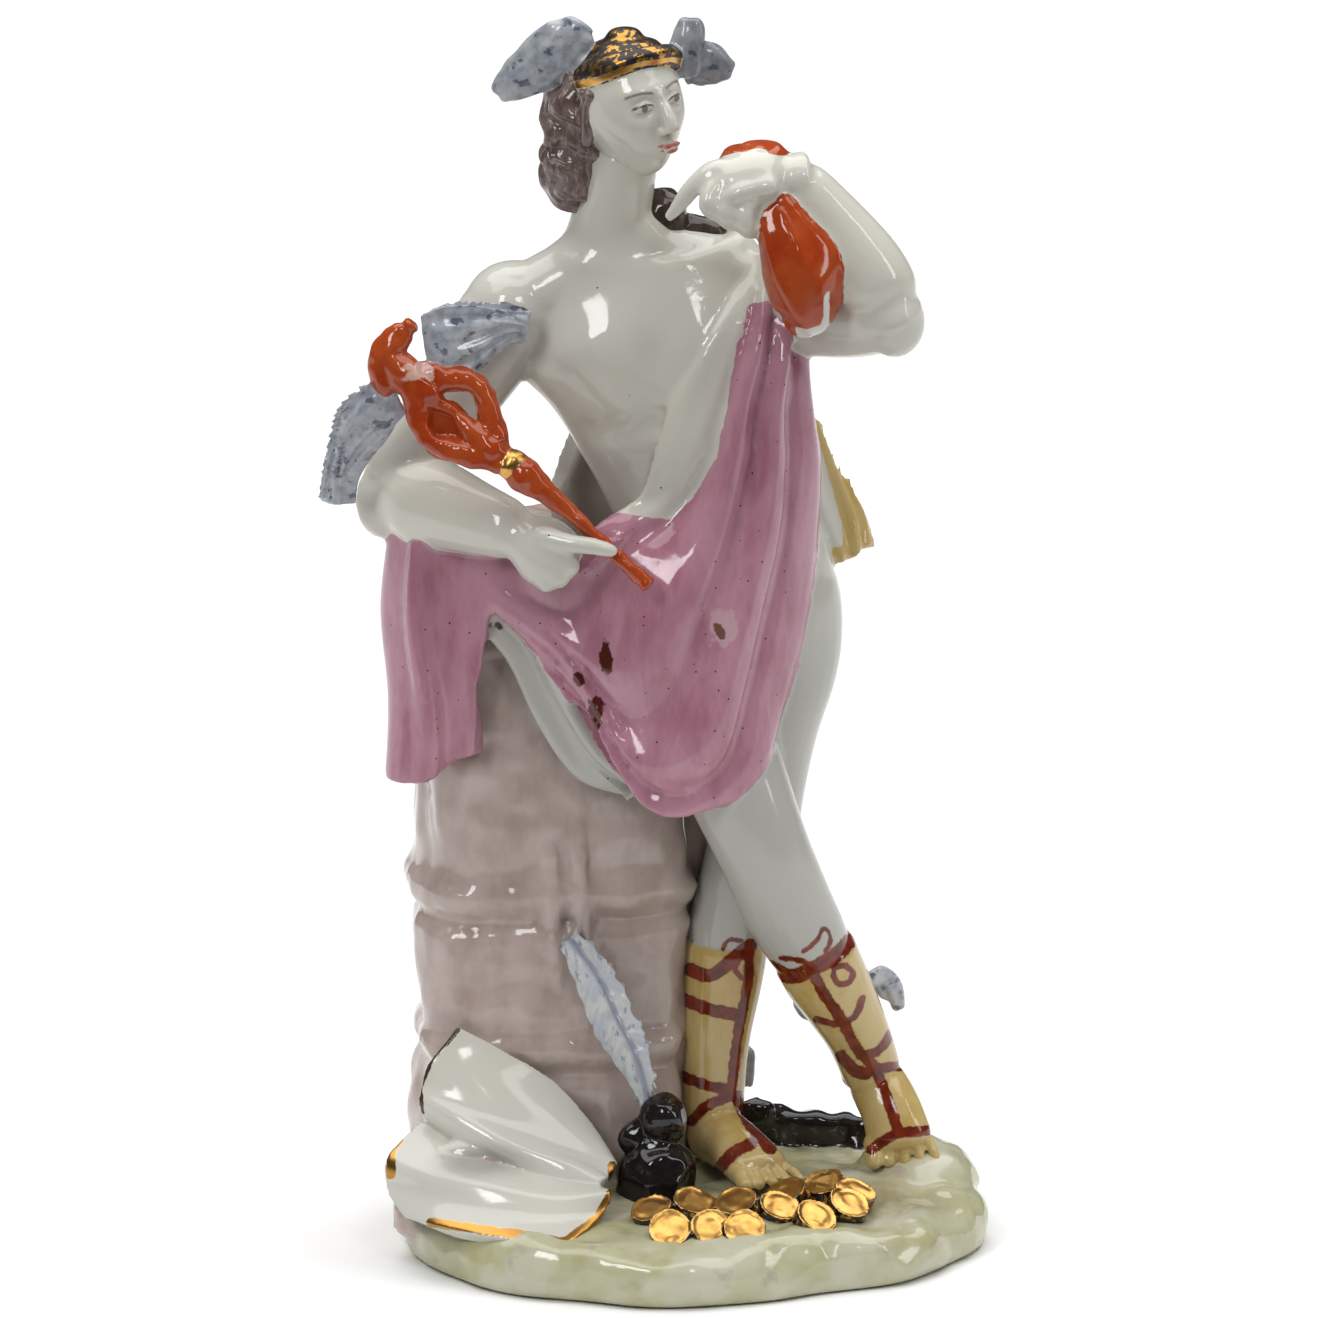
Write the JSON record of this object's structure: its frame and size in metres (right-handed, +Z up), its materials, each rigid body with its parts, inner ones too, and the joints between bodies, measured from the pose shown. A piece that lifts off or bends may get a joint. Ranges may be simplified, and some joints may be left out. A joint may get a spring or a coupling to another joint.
{
  "type": "porcelain mercury figurine",
  "caption": "Small glazed porcelain figurine of a winged-helmeted youth with a staff and purse, leaning on a corded bale on an oval rocky base.",
  "frame": {"origin": "centre of the base's flat underside", "axes": "+Z up, the figure faces -Y, +X to the viewer's right when facing the figure"},
  "size_m": [0.0773, 0.0559, 0.1479],
  "materials": {
    "glazed_porcelain": "glossy clear glaze over painted enamels"
  },
  "bodies": {
    "root": {"mercury_figurine": "glazed_porcelain"}
  },
  "joints": []
}
